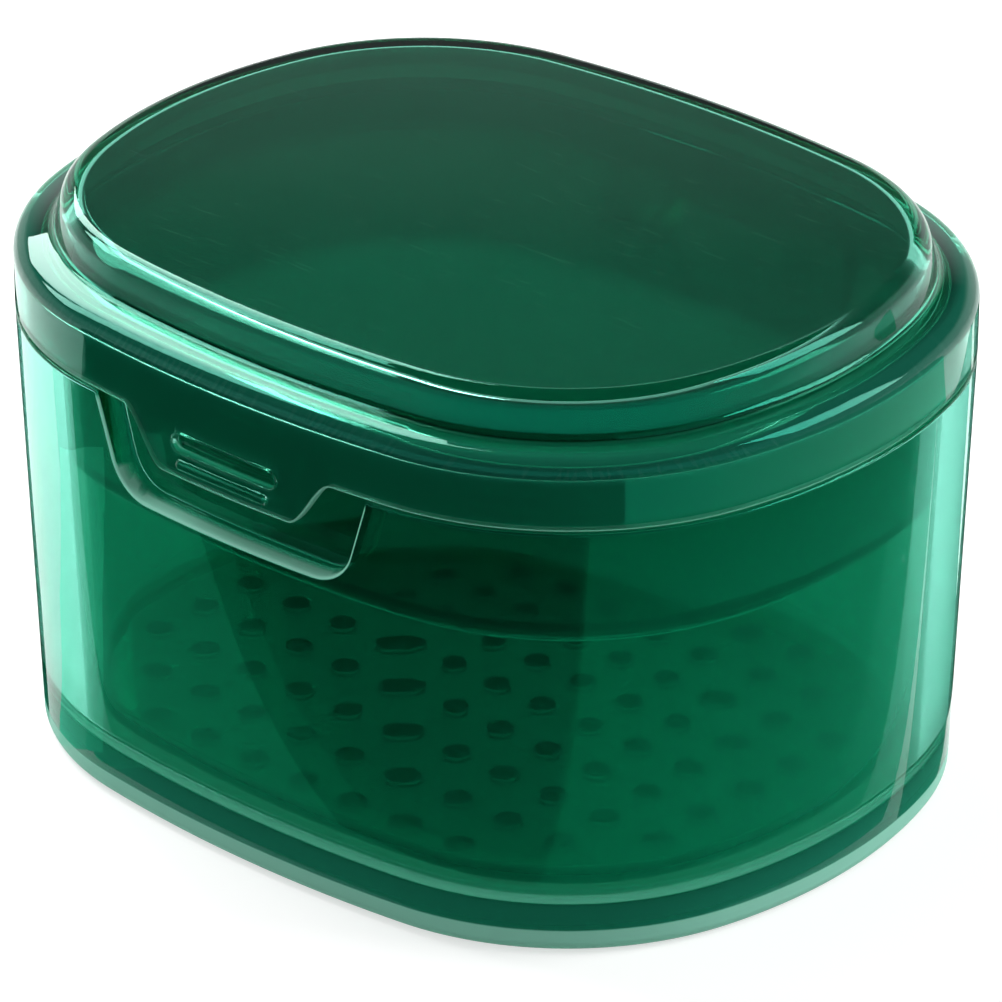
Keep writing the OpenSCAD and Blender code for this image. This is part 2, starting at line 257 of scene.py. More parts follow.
def swept(profile, closed, front_step=STEP):
    """A shell whose profile runs once around the outline. Open ends are filled flat."""
    bm = bmesh.new()
    for i, (centre, r, first, last) in enumerate(ARCS):
        step = front_step if i == FRONT_ARC else STEP
        ring = []
        for p in profile:
            at = centre + (r - p.x) * ray(first)
            ring.append(bm.verts.new((at.x, at.y, p.y)))
        pairs = list(zip(ring, ring[1:]))
        if closed:
            pairs.append((ring[-1], ring[0]))
        edges = [bm.edges.new(pair) for pair in pairs]
        bmesh.ops.spin(
            bm, geom=ring + edges, cent=(centre.x, centre.y, 0), axis=(0, 0, 1),
            angle=last - first, steps=math.ceil((last - first) * r / step), use_merge=False,
        )
    bmesh.ops.remove_doubles(bm, verts=bm.verts, dist=2 * WELD)
    if not closed:
        rims = [e for e in bm.edges if e.is_boundary]
        bmesh.ops.holes_fill(bm, edges=rims, sides=0)
    bmesh.ops.recalc_face_normals(bm, faces=bm.faces)
    return bm


def lofted(loops):
    """A closed solid through loops of points, with flat ends."""
    bm = bmesh.new()
    rings = []
    for loop in loops:
        verts = [bm.verts.new(p) for p in loop]
        rings.append([bm.edges.new(pair) for pair in zip(verts, verts[1:] + verts[:1])])
    for near, far in zip(rings, rings[1:]):
        bmesh.ops.bridge_loops(bm, edges=near + far)
    for ring in (rings[0], rings[-1]):
        bmesh.ops.contextual_create(bm, geom=ring)
    bmesh.ops.recalc_face_normals(bm, faces=bm.faces)
    return bm


def grown(loop, by):
    """A closed loop of 2-D points, moved outwards by a distance."""
    area = sum(a.cross(b) for a, b in zip(loop, loop[1:] + loop[:1]))
    turn = 1 if area > 0 else -1
    moved = []
    for i, p in enumerate(loop):
        into = (p - loop[i - 1]).normalized()
        out = (loop[(i + 1) % len(loop)] - p).normalized()
        n_in = Vector((into.y, -into.x)) * turn
        n_out = Vector((out.y, -out.x)) * turn
        normal = (n_in + n_out).normalized()
        sharpest = 0.3  # a corner that is sharper than this moves no further
        moved.append(p + normal * (by / max(sharpest, normal.dot(n_in))))
    return moved


def on_front(loop, inset, leaning=0.0):
    """Puts a front view loop of (x, z) on the front face, moved in by the inset."""
    return [(p.x, front_y(p.x, inset + leaning * lean(min(p.y, BODY_H))), p.y) for p in loop]


def as_object(bm, name):
    mesh = bpy.data.meshes.new(name)
    bm.to_mesh(mesh)
    bm.free()
    obj = bpy.data.objects.new(name, mesh)
    bpy.context.scene.collection.objects.link(obj)
    return obj


def combine(base, tools, how):
    """Adds tools that lie apart to the base, or cuts them out of it."""
    bm = bmesh.new()
    for tool in tools:
        bm.from_mesh(tool.data)
        bpy.data.objects.remove(tool)
    together = as_object(bm, "tools")
    modifier = base.modifiers.new("combine", "BOOLEAN")
    modifier.operation = how
    modifier.solver = "EXACT"
    modifier.object = together
    evaluated = base.evaluated_get(bpy.context.evaluated_depsgraph_get())
    mesh = bpy.data.meshes.new_from_object(evaluated)
    base.modifiers.clear()
    base.data = mesh
    bpy.data.objects.remove(together)
    return base


def finished(obj, body, node, material):
    """Scales a piece to metres, smooths its shading and puts it in its node's place."""
    bm = bmesh.new()
    bm.from_mesh(obj.data)
    bmesh.ops.remove_doubles(bm, verts=bm.verts, dist=WELD)
    bmesh.ops.dissolve_degenerate(bm, edges=bm.edges, dist=WELD)
    bmesh.ops.scale(bm, vec=(MM, MM, MM), verts=bm.verts)
    for face in bm.faces:
        face.smooth = True
    bm.to_mesh(obj.data)
    bm.free()
    obj.data.set_sharp_from_angle(angle=SHARP_FROM)
    weighted = obj.modifiers.new("even_normals", "WEIGHTED_NORMAL")
    weighted.keep_sharp = True
    weighted.weight = 80
    obj.data.materials.clear()
    obj.data.materials.append(material)
    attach(obj, body)
    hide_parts(node)
    return obj


# ---- the pieces ----

def bar_stations(first, last, ends, parts=1):
    """Places along a bar and how far it shrinks there, with both ends rounded alike."""
    inner = ends[-1][0]
    near = [(first + along, shrink) for along, shrink in ends]
    far = [(last - along, shrink) for along, shrink in reversed(ends)]
    middle = [first + inner + (last - first - 2 * inner) * k / parts for k in range(1, parts)]
    return near + [(x, 0) for x in middle] + far


def knuckle(name, x0, x1, outline):
    """A hinge knuckle: a side view loop of (y, z) drawn out along X, with rounded ends."""
    loops = []
    for x, shrink in bar_stations(x0, x1, [(0, EDGE), (0.1, 0.12), (EDGE, 0)]):
        loops.append([(x, p.x, p.y) for p in grown(outline, -shrink)])
    return as_object(lofted(loops), name)


def hinge_hole(r):
    """Cuts the bore for the pin through the knuckles."""
    bm = bmesh.new()
    bmesh.ops.create_circle(bm, cap_ends=True, radius=r, segments=40)
    extruded = bmesh.ops.extrude_face_region(bm, geom=bm.faces[:])
    top = [g for g in extruded["geom"] if isinstance(g, bmesh.types.BMVert)]
    bmesh.ops.translate(bm, vec=(0, 0, HINGE_W + 2 * OVERCUT), verts=top)
    for v in bm.verts:
        v.co = Vector((v.co.z - HINGE_W / 2 - OVERCUT, v.co.x + HINGE_Y, v.co.y + HINGE_Z))
    bmesh.ops.recalc_face_normals(bm, faces=bm.faces)
    return as_object(bm, "hinge_hole")


def knuckle_outline(root_y, foot, high, first, last):
    """Side view of a knuckle and its gusset: the foot, round the pin, and back to the wall."""
    centre = Vector((HINGE_Y, HINGE_Z))
    first, last = math.radians(first), math.radians(last)
    steps = 24
    turns = [first + (last - first) * k / steps for k in range(steps + 1)]
    return foot + [centre + KNUCKLE_R * ray(a) for a in turns] + [Vector((root_y, high))]


def make_case_body(material):
    """The cup with its lip, notch, catch and two knuckles."""
    matte_ends = (FOOT_BAND, FOOT_BAND + 0.2, FOOT_FADE, 1.6 * FOOT_FADE)
    profile = rounded([
        (UNDER_IN, 0, 0),
        (WALL_LEAN, 0, BASE_ROUND),
        *((lean(z), z, 0) for z in matte_ends),
        (0, BODY_H, EDGE),
        (LIP_IN, BODY_H, SMALL_EDGE),
        (LIP_IN, LIP_TOP, EDGE),
        (LIP_INNER, LIP_TOP, EDGE),
        (LIP_INNER, BODY_H, SMALL_EDGE),
        (WALL_T, BODY_H, EDGE),
        (WALL_T + lean(FLOOR_T), FLOOR_T, FLOOR_ROUND),
        (FLOOR_IN, FLOOR_T, 0),
    ])
    cup = as_object(swept(profile, closed=False), "case_cup")
    combine(cup, [notch_outer()], "DIFFERENCE")
    combine(cup, [notch_inner()], "DIFFERENCE")
    knuckle_l = (HINGE_W - LID_KNUCKLE_L) / 2 - KNUCKLE_GAP
    outer = HINGE_W / 2
    reach = HINGE_OUT + WALL_T / 2
    root_y = HALF_D - WALL_T / 2
    foot = [Vector((root_y, HINGE_Z - GUSSET * math.sqrt(2) - reach))]
    outline = knuckle_outline(root_y, foot, HINGE_Z + GUSSET / 2, -45, 90)
    knuckles = [
        knuckle("body_knuckle", x0, x1, outline)
        for x0, x1 in ((-outer, knuckle_l - outer), (outer - knuckle_l, outer))
    ]
    combine(cup, [catch_block()] + knuckles, "UNION")
    combine(cup, [hinge_hole(PIN_R + PIN_FIT)], "DIFFERENCE")
    mark(cup, deep=cup_painted_shade, pale=cup_painted_highlight, matte=cup_matte)
    return finished(cup, "case", "case_body", material)


def inset_of(x, y):
    """How far a point of the plan lies inside the outline."""
    q = Vector((abs(x), abs(y)))
    from_corner = q - CORNER_C
    if END_TURN <= math.atan2(from_corner.y, from_corner.x) <= FACE_TURN:
        return CORNER_R - from_corner.length
    return min(FACE_R - (q - FACE_C).length, END_R - (q - END_C).length)


def mark(obj, **tests):
    """Stores on each vertex what each test says of its place, for the material to read."""
    for name, test in tests.items():
        values = obj.data.attributes.new(name, "FLOAT", "POINT")
        for v, value in zip(obj.data.vertices, values.data):
            value.value = float(test(v.co, inset_of(v.co.x, v.co.y)))


# margins in telling where a point lies
HAIR = 0.05
NEAR = 0.1
FLAT = 0.02
FILLET = 0.3
NOTCH_SIDE = 1
LEDGE_RISE = 2.5

# how far a face is matte, from 0 to 1
FOOT_MATTE = 0.7
FADE_MATTE = 0.15
UNDER_MATTE = 0.42
NOTCH_MATTE = 0.85
FILLET_MATTE = 0.3
CAVITY_MATTE = 0.05
LID_EDGE_MATTE = 0.4
SHOULDER_MATTE = 0.1
SKIRT_MATTE = 0.25
ROOF_MATTE = 0.08

COLLAR_PAINTED_SHADE = 0.65  # how far the basket's collar takes the dark colour of painted shade


def cup_painted_shade(at, inset):
    """Painted shade: the cavity of the case and its underside take the dark colour."""
    underside = at.z < FLAT and inset > WALL_LEAN + BASE_ROUND - FILLET
    return underside or (at.z > FLOOR_T - NEAR and inset > LIP_INNER - NEAR)


def cup_painted_highlight(at, inset):
    """Painted highlight: the band around the foot, and the rounded lip and the ledge of the notch, are pale
    mint, as where they catch the light.
    """
    into_wall = inset - lean(at.z)
    foot = FLAT < at.z < FOOT_BAND + NEAR and into_wall < BASE_ROUND
    in_height = NOTCH_LOW - NOTCH_SIDE < at.z < BODY_H - 0.4
    in_notch = in_height and abs(at.x) < NOTCH_TOP_W / 2 + NOTCH_SIDE and at.y < 0
    ledge = at.z < NOTCH_LOW + LEDGE_RISE and into_wall < NOTCH_DEPTH / 2
    return foot or (in_notch and into_wall > FLAT and (into_wall < FILLET or ledge))


def cup_matte(at, inset):
    """How far each face of the case is matte: most around its foot, on the ledge and under it."""
    if cup_painted_highlight(at, inset):
        return FOOT_MATTE if at.z < FOOT_BAND + NEAR else NOTCH_MATTE
    if at.z < FLAT:
        return UNDER_MATTE if inset < UNDER_RIM else 0
    if inset < WALL_LEAN + NEAR and at.z < FOOT_FADE + NEAR:
        return FADE_MATTE
    fillet_in = WALL_T + lean(FLOOR_T) + FLOOR_ROUND
    if at.z < FLOOR_T + FLOOR_ROUND and LIP_INNER < inset < fillet_in:
        return FILLET_MATTE
    return CAVITY_MATTE * cup_painted_shade(at, inset)


def lid_painted_shade(at, inset):
    """Painted shade: the inside of the lid's skirt, shoulder and roof takes the dark colour."""
    if at.z < SEAL_TOP + FILLET:
        return inset > SKIRT_T - 0.2
    return at.z < LID_TOP - LID_T + FILLET and inset > crown_wall_in(LID_T / 2, at.z)


def lid_painted_highlight(at, inset):
    """Painted highlight: the rounded lower edge of the skirt and the tab are pale mint."""
    fall = tab_fall(at.x) if at.y < 0 else 0
    return at.z + fall < LID_Z + FILLET and -HAIR < inset < SKIRT_T + HAIR


def lid_matte(at, inset):
    """The lower edge of the lid is matte, and so are the shoulder's rounding and the inside, a little."""
    if lid_painted_highlight(at, inset):
        return LID_EDGE_MATTE
    if at.z > BODY_H + SKIRT_H - SHOULDER_ROUND - NEAR and inset < SHOULDER_ROUND + NEAR:
        return SHOULDER_MATTE
    return (SKIRT_MATTE if at.z < SEAL_TOP + FILLET else ROOF_MATTE) * lid_painted_shade(at, inset)


def basket_painted_shade(at, inset):
    """Painted shade: the walls of the drain holes take the dark colour so that they look dark from above,
    and the collar takes it in part.
    """
    if at.z > BODY_H - COLLAR_H:
        return COLLAR_PAINTED_SHADE
    floor_z = BASKET_Z + BASKET_FLOOR_T
    in_floor = BASKET_Z + HAIR < at.z < floor_z - HAIR
    return in_floor and inset > BASKET_IN + COLLAR_STEP + 2 * BASKET_T


def nowhere(at, inset):
    return False


def notch_loop(top):
    """The notch seen from the front, up to a height above its floor."""
    slope = (NOTCH_TOP_W - NOTCH_BASE_W) / 2 / NOTCH_H
    half_top = NOTCH_BASE_W / 2 + slope * (top - NOTCH_LOW)
    points = rounded([
        (half_top, top, 0),
        (NOTCH_BASE_W / 2, NOTCH_LOW, NOTCH_ROUND),
        (-NOTCH_BASE_W / 2, NOTCH_LOW, NOTCH_ROUND),
        (-half_top, top, 0),
    ])
    longest = 1.0
    fine = []
    for a, b in zip(points, points[1:] + points[:1]):
        parts = max(1, math.ceil((b - a).length / longest))
        fine.extend(a + (b - a) * (k / parts) for k in range(parts))
    return fine


def quarter(r, steps=4):
    """Steps of a quarter round: distance along, and distance to the side."""
    return [(r * (1 - math.cos(a)), r * (1 - math.sin(a)))
            for a in (math.pi / 2 * k / steps for k in range(steps + 1))]


def notch_outer():
    """Cuts the notch through the outer part of the wall, with a rounded lip."""
    loop = notch_loop(BODY_H + 0.8)
    stations = [(-OVERCUT, EDGE)] + quarter(EDGE) + [(LIP_IN - 0.08, 0)]
    return as_object(lofted([on_front(grown(loop, by), s, 1) for s, by in stations]), "notch_outer")


def notch_inner():
    """Cuts the rest of the notch, under the lip, with a rounded corner at its back."""
    loop = notch_loop(BODY_H - 0.05)
    r = 0.5
    back = [(NOTCH_DEPTH - s, -by) for s, by in reversed(quarter(r))]
    stations = [(LIP_IN - 0.5, 0)] + back
    return as_object(lofted([on_front(grown(loop, by), s) for s, by in stations]), "notch_inner")


def catch_block():
    """The block behind the tab, with the nose that the slot snaps over."""
    sunk = 0.4  # how far the block reaches into the case around it
    block_in = LIP_IN + 0.2
    catch_in = SKIRT_T + CATCH_GAP
    foot_z = TAB_Z + 0.4
    profile = rounded([
        (NOTCH_DEPTH + sunk, foot_z - NOTCH_DEPTH / 2, 0),
        (block_in, foot_z, 0.3),
        (block_in, SLOT_Z - SLOT_W / 2, 0.15),
        (catch_in, SLOT_Z - SLOT_W / 4, 0.12),
        (catch_in, SLOT_Z + SLOT_W / 4, 0.12),
        (block_in, SLOT_Z + SLOT_W / 2, 0.15),
        (block_in, BODY_H + sunk, 0),
        (NOTCH_DEPTH + sunk, BODY_H + sunk, 0),
    ])
    half = SLOT_L / 2 + 0.4
    stations = bar_stations(-half, half, [(0, 0.25), (0.08, 0.1), (0.25, 0)], parts=12)
    loops = [[(x, front_y(x, p.x), p.y) for p in grown(profile, -shrink)] for x, shrink in stations]
    return as_object(lofted(loops), "catch_block")


SHOULDER_START = Vector((SHOULDER_ROUND, BODY_H + SKIRT_H - SHOULDER_ROUND)) + SHOULDER_ROUND * ray(
    math.pi / 2 + SHOULDER_SLOPE)
SHOULDER_Z = SHOULDER_START.y - SHOULDER_START.x * math.tan(SHOULDER_SLOPE)
CROWN_FOOT_Z = SHOULDER_Z + CROWN_IN * math.tan(SHOULDER_SLOPE)


def crown_wall_in(t, z):
    """How far in the crown's wall lies at a height, at a depth t under its face."""
    return CROWN_IN + t / math.cos(CROWN_LEAN) + (z - CROWN_FOOT_Z) * math.tan(CROWN_LEAN)


def tab_fall(x):
    """How far the lid's lower edge drops at x to form the tab."""
    drop = LID_Z - TAB_Z
    t = (TAB_TOP_W / 2 - abs(x)) / drop
    t = min(1.0, max(0.0, t))
    return drop * t * t * (3 - 2 * t)


def draw_tab(bm):
    """Draws the front of the skirt down into the snap tab."""
    for v in bm.verts:
        near_tab = abs(v.co.x) < TAB_TOP_W / 2 + 1 and v.co.y < 0 and v.co.z < TAB_BLEND_Z
        if near_tab and v.co.y < front_y(v.co.x, SKIRT_T + 0.02):
            share = min(1.0, (TAB_BLEND_Z - v.co.z) / (TAB_BLEND_Z - LID_Z - EDGE))
            v.co.z -= tab_fall(v.co.x) * share


def make_lid(material):
    """The lid: crown, shoulder, skirt, keeper for the seal, tab, slot, thumb rib and knuckle."""
    keeper_z = SEAL_TOP - KEEPER_H
    profile = rounded([
        (ROOF_IN, LID_TOP, 0),
        (crown_wall_in(0, LID_TOP), LID_TOP, CROWN_ROUND),
        (CROWN_IN, CROWN_FOOT_Z, FOOT_ROUND),
        (0, SHOULDER_Z, SHOULDER_ROUND),
        (0, LID_Z, EDGE),
        (SKIRT_T, LID_Z, EDGE),
        (SKIRT_T, SEAL_TOP, SMALL_EDGE),
        (KEEPER_IN, SEAL_TOP, SMALL_EDGE),
        (KEEPER_IN, keeper_z, SMALL_EDGE),
        (KEEPER_IN + KEEPER_T, keeper_z, SMALL_EDGE),
        (KEEPER_IN + KEEPER_T, SEAL_TOP, SMALL_EDGE),
        (crown_wall_in(LID_T, SEAL_TOP), SEAL_TOP, EDGE),
        (crown_wall_in(LID_T, LID_TOP - LID_T), LID_TOP - LID_T, CROWN_ROUND - 1),
        (CEILING_IN, LID_TOP - LID_T, 0),
    ], longest=RISE_STEP)
    bm = swept(profile, closed=False, front_step=FRONT_STEP)
    draw_tab(bm)
    shell = as_object(bm, "lid_shell")
    reach = HINGE_OUT + SKIRT_T / 2
    root_y = HALF_D - SKIRT_T / 2
    low = LID_Z + 0.4
    foot = [Vector((root_y, low)), Vector((root_y + KNUCKLE_FOOT, low))]
    outline = knuckle_outline(root_y, foot, HINGE_Z + GUSSET * math.sqrt(2) + reach, -150, 45)
    half = LID_KNUCKLE_L / 2
    combine(shell, [thumb_rib(), knuckle("lid_knuckle", -half, half, outline)], "UNION")
    combine(shell, [hinge_hole(PIN_R + PIN_GAP), slot_cutter()], "DIFFERENCE")
    mark(shell, deep=lid_painted_shade, pale=lid_painted_highlight, matte=lid_matte)
    return finished(shell, "lid", "lid", material)


def pill(length, width, steps=12):
    """A loop with round ends about the origin, in a front view."""
    r = width / 2
    out = length / 2 - r
    points = []
    for side, first in ((1, -90), (-1, 90)):
        for k in range(steps + 1):
            a = math.radians(first + 180 * k / steps)
            points.append(Vector((side * out, 0)) + r * ray(a))
    return points


def pill_on_front(name, length, width, z, stations):
    """A solid with the outline of a pill on the lid's front, through stations of inset and growth."""
    loops = []
    for inset, by in stations:
        loop = [p + Vector((0, z)) for p in grown(pill(length, width), by)]
        loops.append(on_front(loop, inset))
    return as_object(lofted(loops), name)


def thumb_rib():
    rib_z = TAB_Z + RIB_W + 0.4
    stations = [
        (SKIRT_T / 2, 0.0), (0.0, 0.0), (-0.15, -0.06), (-0.3, -0.18), (-0.4, -0.34), (-RIB_OUT, -0.5)]
    return pill_on_front("thumb_rib", RIB_L, RIB_W, rib_z, stations)


def slot_cutter():
    r = 0.25
    outer = quarter(r)
    inner = [(SKIRT_T - s, by) for s, by in reversed(outer)]
    stations = [(-OVERCUT, r)] + outer + inner + [(SKIRT_T + r, r)]
    return pill_on_front("slot_cutter", SLOT_L, SLOT_W, SLOT_Z, stations)


def make_seal(material):
    """The soft ring that lies over the cup's lip."""
    low_in = SKIRT_T + SEAL_GAP
    profile = rounded([
        (low_in, SEAL_Z, 0.5),
        (low_in + SEAL_W, SEAL_Z, 0.5),
        (low_in + SEAL_W, SEAL_TOP, 0.15),
        (low_in, SEAL_TOP, 0.15),
    ])
    ring = as_object(swept(profile, closed=True), "soft_seal")
    return finished(ring, "lid", "sealing_ring", material)


def make_basket(material):
    """The strainer basket: floor with drain holes, wall, collar, flange and rim."""
    lower_in = BASKET_IN + COLLAR_STEP
    collar_z = BODY_H - COLLAR_H
    rim_z = BODY_H + RIM_H
    flange_in = LIP_INNER + BASKET_GAP - SEAT_GAP
    flange_z = BODY_H + SEAT_GAP
    floor_z = BASKET_Z + BASKET_FLOOR_T
    t = BASKET_T
    profile = rounded([
        (UNDER_IN, BASKET_Z, 0),
        (lower_in + lean(BASKET_Z), BASKET_Z, BASKET_ROUND),
        (lower_in + lean(collar_z - COLLAR_STEP), collar_z - COLLAR_STEP, 0.5),
        (BASKET_IN + lean(collar_z), collar_z, 0.5),
        (BASKET_IN, flange_z, 0.15),
        (flange_in, flange_z, 0.2),
        (flange_in, flange_z + FLANGE_T, EDGE),
        (RIM_IN, flange_z + FLANGE_T, 0.3),
        (RIM_IN, rim_z, 0.5),
        (RIM_IN + t, rim_z, 0.5),
        (RIM_IN + t, flange_z, 0.4),
        (BASKET_IN + t + lean(collar_z + t / 2), collar_z + t / 2, 0.5),
        (lower_in + t + lean(collar_z - COLLAR_STEP), collar_z - COLLAR_STEP + t / 2, 0.5),
        (lower_in + t + lean(floor_z), floor_z, BASKET_FLOOR_ROUND),
        (FLOOR_IN, floor_z, 0),
    ])
    basket = as_object(swept(profile, closed=False), "strainer")
    combine(basket, [drain_cutters(floor_z)], "DIFFERENCE")
    mark(basket, deep=basket_painted_shade, pale=nowhere, matte=nowhere)
    return finished(basket, "basket", "strainer_basket", material)


def drain_cutters(floor_z):
    """One cutter for every drain hole, flared at both faces so that each rim is rounded."""
    inner_z = floor_z + BASKET_FLOOR_ROUND
    wall = BASKET_IN + COLLAR_STEP + BASKET_T
    hole_in = wall + lean(inner_z) + BASKET_FLOOR_ROUND + HOLE_R + HOLE_MARGIN
    flare = 0.3
    low = [(BASKET_Z + s, HOLE_R + by) for s, by in quarter(flare, 2)]
    high = [(floor_z - s, HOLE_R + by) for s, by in reversed(quarter(flare, 2))]
    wide = HOLE_R + flare
    side = [(BASKET_Z - OVERCUT, wide)] + low + high + [(floor_z + OVERCUT, wide)]
    bm = bmesh.new()
    reach = math.ceil(HALF_W / HOLE_PITCH)
    for i in range(-reach, reach + 1):
        for j in range(-reach, reach + 1):
            x, y = HOLE_PITCH * i, HOLE_PITCH * j
            if not inside(x, y, hole_in):
                continue
            verts = [bm.verts.new((x + r, y, z)) for z, r in side]
            edges = [bm.edges.new(pair) for pair in zip(verts, verts[1:])]
            bmesh.ops.spin(
                bm, geom=verts + edges, cent=(x, y, 0), axis=(0, 0, 1), angle=2 * math.pi, steps=20,
                use_merge=True,
            )
    bmesh.ops.remove_doubles(bm, verts=bm.verts, dist=WELD)
    rims = [e for e in bm.edges if e.is_boundary]
    bmesh.ops.holes_fill(bm, edges=rims, sides=0)
    bmesh.ops.recalc_face_normals(bm, faces=bm.faces)
    return as_object(bm, "drain_cutters")


def make_pin(material):
    """The hinge pin, with rounded ends."""
    end = (HINGE_W - 2 * PIN_SUNK) / 2
    bm = bmesh.new()
    side = [(-end, 0.0), (-end, 0.7), (-end + 0.08, 0.88), (-end + 0.25, PIN_R - PIN_FIT)]
    side += [(-x, r) for x, r in reversed(side)]
    verts = [bm.verts.new((x, HINGE_Y, HINGE_Z + r)) for x, r in side]
    edges = [bm.edges.new(pair) for pair in zip(verts, verts[1:])]
    bmesh.ops.spin(
        bm, geom=verts + edges, cent=(0, HINGE_Y, HINGE_Z), axis=(1, 0, 0), angle=2 * math.pi, steps=40,
        use_merge=True,
    )
    bmesh.ops.remove_doubles(bm, verts=bm.verts, dist=WELD)
    bmesh.ops.recalc_face_normals(bm, faces=bm.faces)
    return finished(as_object(bm, "steel_pin"), "case", "hinge_pin", material)


# ---- materials ----

def new_material(name):
    material = bpy.data.materials.new(name)
    material.use_nodes = True
    return material, material.node_tree.nodes, material.node_tree.links


def set_inputs(node, values):
    for name, value in values.items():
        node.inputs[name].default_value = value


def calc(nodes, links, operation, *values):
    """A Math node. A value that is a socket is linked, any other is set."""
    node = nodes.new("ShaderNodeMath")
    node.operation = operation
    for socket, value in zip(node.inputs, values):
        if isinstance(value, bpy.types.NodeSocket):
            links.new(value, socket)
        else:
            socket.default_value = value
    return node.outputs[0]


def colour_mix(nodes, first, second):
    """A Mix node for colours, between two colours that are the same everywhere."""
    node = nodes.new("ShaderNodeMix")
    node.data_type = "RGBA"
    node.inputs["A"].default_value = (*first, 1)
    node.inputs["B"].default_value = (*second, 1)
    return node


WHITE = (1, 1, 1)
SCRATCH_ROUGHNESS = 0.12


def surface_group():
    """Moulded plastic close up: faint waves of the mould and hairline scratches."""
    group = bpy.data.node_groups.new("moulded_surface", "ShaderNodeTree")
    face = group.interface
    for name, value in (("Waves", 0.3), ("Scratches", 0.3), ("Roughness", 0.03)):
        face.new_socket(name=name, in_out="INPUT", socket_type="NodeSocketFloat").default_value = value
    for name, value in (("Pale", (1, 1, 1, 1)), ("Deep", (0.9, 1, 0.95, 1))):
        face.new_socket(name=name, in_out="INPUT", socket_type="NodeSocketColor").default_value = value
    for name, kind in (("Color", "Color"), ("Roughness", "Float"), ("Height", "Float")):
        face.new_socket(name=name, in_out="OUTPUT", socket_type="NodeSocket" + kind)
    nodes, links = group.nodes, group.links
    given = nodes.new("NodeGroupInput")
    result = nodes.new("NodeGroupOutput")
    place = nodes.new("ShaderNodeTexCoord")
    waves = nodes.new("ShaderNodeTexNoise")
    set_inputs(waves, {"Scale": 45, "Detail": 1.5})
    links.new(place.outputs["Object"], waves.inputs["Vector"])
    stretch = nodes.new("ShaderNodeMapping")
    set_inputs(stretch, {"Rotation": (0.4, 0.2, 0.7), "Scale": (1, 14, 3)})
    links.new(place.outputs["Object"], stretch.inputs["Vector"])
    hairs = nodes.new("ShaderNodeTexNoise")
    set_inputs(hairs, {"Scale": 160, "Detail": 3})
    links.new(stretch.outputs["Vector"], hairs.inputs["Vector"])
    thin = nodes.new("ShaderNodeMapRange")
    set_inputs(thin, {"From Min": 0.66, "From Max": 0.74})
    links.new(hairs.outputs["Fac"], thin.inputs["Value"])
    scratch = calc(nodes, links, "MULTIPLY", thin.outputs["Result"], given.outputs["Scratches"])
    wave = calc(nodes, links, "MULTIPLY", waves.outputs["Fac"], given.outputs["Waves"])
    height = calc(nodes, links, "SUBTRACT", wave, scratch)
    links.new(height, result.inputs["Height"])
    rough = calc(
        nodes, links, "MULTIPLY_ADD", scratch, SCRATCH_ROUGHNESS, given.outputs["Roughness"])
    links.new(rough, result.inputs["Roughness"])
    tint = colour_mix(nodes, WHITE, WHITE)
    links.new(waves.outputs["Fac"], tint.inputs["Factor"])
    links.new(given.outputs["Pale"], tint.inputs["A"])
    links.new(given.outputs["Deep"], tint.inputs["B"])
    links.new(tint.outputs["Result"], result.inputs["Color"])
    return group


SURFACE = surface_group()


def surface_node(nodes, values):
    """The shared surface, with one material's own values."""
    node = nodes.new("ShaderNodeGroup")
    node.node_tree = SURFACE
    set_inputs(node, values)
    return node


PLASTIC_IOR = 1.49
MIRROR_TINT = (0.03, 0.85, 0.6)
MATTE_DEEP = (0.05, 0.72, 0.45)
# pale mint of the painted highlight on the foot, the notch's lip and ledge and the lid's lower edge
MATTE_PAINTED_HIGHLIGHT = (0.35, 0.8, 0.63)


def clear_plastic(name, surface, deep, absorb, density):
    """Tinted clear plastic: it refracts, and the colour deepens with the path through it.

    Marks on the mesh say where it takes its deep colour, which is painted shade, and how far each face is
    matte, in green or in pale mint; the pale mint is a painted highlight.
    """
    material, nodes, links = new_material(name)
    output = nodes["Material Output"]
    shader = nodes["Principled BSDF"]
    set_inputs(shader, {"Transmission Weight": 1, "IOR": PLASTIC_IOR, "Specular Tint": (*MIRROR_TINT, 1)})
    group = surface_node(nodes, {
        "Roughness": 0.015,
        "Scratches": 0.04,
        "Pale": (*surface, 1),
        "Deep": (*(0.96 * c for c in surface), 1),
    })
    marks = {}
    for mark_name in ("deep", "pale", "matte"):
        node = nodes.new("ShaderNodeAttribute")
        node.attribute_name = mark_name
        marks[mark_name] = node.outputs["Fac"]
    # the deep mark mixes in the dark colour, which is painted shade
    tint = colour_mix(nodes, surface, deep)
    links.new(marks["deep"], tint.inputs["Factor"])
    links.new(group.outputs["Color"], tint.inputs["A"])
    links.new(tint.outputs["Result"], shader.inputs["Base Color"])
    links.new(group.outputs["Roughness"], shader.inputs["Roughness"])
    bump = nodes.new("ShaderNodeBump")
    set_inputs(bump, {"Strength": 0.25, "Distance": 0.0002})
    links.new(group.outputs["Height"], bump.inputs["Height"])
    links.new(bump.outputs["Normal"], shader.inputs["Normal"])
    matte = nodes.new("ShaderNodeBsdfDiffuse")
    # the pale mark turns the matte colour to pale mint, which is a painted highlight
    matte_and_painted_highlight = colour_mix(nodes, MATTE_DEEP, MATTE_PAINTED_HIGHLIGHT)
    links.new(marks["pale"], matte_and_painted_highlight.inputs["Factor"])
    links.new(matte_and_painted_highlight.outputs["Result"], matte.inputs["Color"])
    both = nodes.new("ShaderNodeMixShader")
    links.new(marks["matte"], both.inputs["Fac"])
    links.new(shader.outputs[0], both.inputs[1])
    links.new(matte.outputs[0], both.inputs[2])
    links.new(both.outputs[0], output.inputs["Surface"])
    volume = nodes.new("ShaderNodeVolumeAbsorption")
    set_inputs(volume, {"Color": (*absorb, 1), "Density": density})
    links.new(volume.outputs["Volume"], output.inputs["Volume"])
    return material


